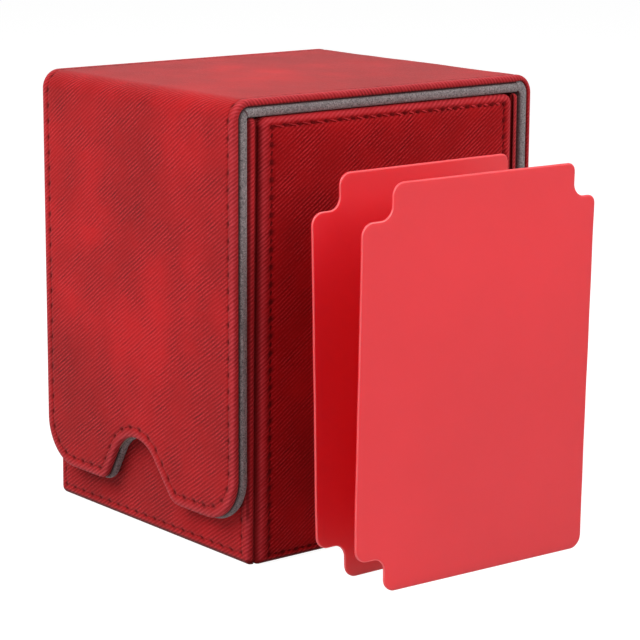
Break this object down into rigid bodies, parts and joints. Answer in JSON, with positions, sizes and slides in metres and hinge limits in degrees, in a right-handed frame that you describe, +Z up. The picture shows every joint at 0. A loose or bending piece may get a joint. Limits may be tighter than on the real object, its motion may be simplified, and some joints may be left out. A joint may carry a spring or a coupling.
{
  "type": "card case",
  "caption": "Leather-covered card box with a fold-over lid, a magnetic front flap with a thumb notch, and loose notched plastic card dividers beside it.",
  "frame": {"origin": "centre of the case's base, on the surface that it stands on", "axes": "+Z up, the flap closes the front, which faces -Y, and the dividers stand on the +X side"},
  "size_m": [0.1143, 0.0891, 0.106],
  "materials": {
    "red_leather": "satin",
    "grey_microfibre": "matte",
    "greyboard": "matte",
    "backing_sheet": "matte",
    "foam": "matte",
    "magnet": "satin",
    "divider_plastic": "satin"
  },
  "bodies": {
    "case": {"front_skin": "red_leather", "front_board": "greyboard", "front_lining": "grey_microfibre", "back_skin": "red_leather", "back_board": "greyboard", "back_lining": "grey_microfibre", "left_skin": "red_leather", "left_foam": "foam", "left_board": "greyboard", "left_lining": "grey_microfibre", "right_skin": "red_leather", "right_foam": "foam", "right_board": "greyboard", "right_lining": "grey_microfibre", "base_skin": "red_leather", "base_board": "greyboard", "base_lining": "grey_microfibre", "front_magnets": "magnet", "rear_skin": "red_leather", "rear_backing": "backing_sheet", "rear_board": "greyboard", "rear_lining": "grey_microfibre", "rear_fold_skin": "red_leather", "rear_fold_lining": "grey_microfibre"},
    "lid": {"lid_skin": "red_leather", "lid_backing": "backing_sheet", "lid_board": "greyboard", "lid_lining": "grey_microfibre", "front_fold_skin": "red_leather", "front_fold_lining": "grey_microfibre"},
    "flap": {"flap_skin": "red_leather", "flap_backing": "backing_sheet", "flap_board": "greyboard", "flap_lining": "grey_microfibre", "flap_magnets": "magnet"},
    "inner_divider": {"inner_divider": "divider_plastic"},
    "outer_divider": {"outer_divider": "divider_plastic"}
  },
  "joints": [
    {"name": "lid_hinge", "type": "hinge", "parent": "case", "child": "lid", "pos_m": [0, 0.04348, 0.10508], "axis": [-1, 0, 0], "range_deg": [0, 175], "deforming": ["rear_fold_skin", "rear_fold_lining"]},
    {"name": "flap_hinge", "type": "hinge", "parent": "lid", "child": "flap", "pos_m": [0, -0.04373, 0.10508], "axis": [-1, 0, 0], "range_deg": [0, 175], "deforming": ["front_fold_skin", "front_fold_lining"]},
    {"name": "inner_divider_lift", "type": "slide", "parent": "case", "child": "inner_divider", "axis": [0, 0, 1], "range_m": [0, 0.11]},
    {"name": "outer_divider_lift", "type": "slide", "parent": "case", "child": "outer_divider", "axis": [0, 0, 1], "range_m": [0, 0.11]}
  ]
}
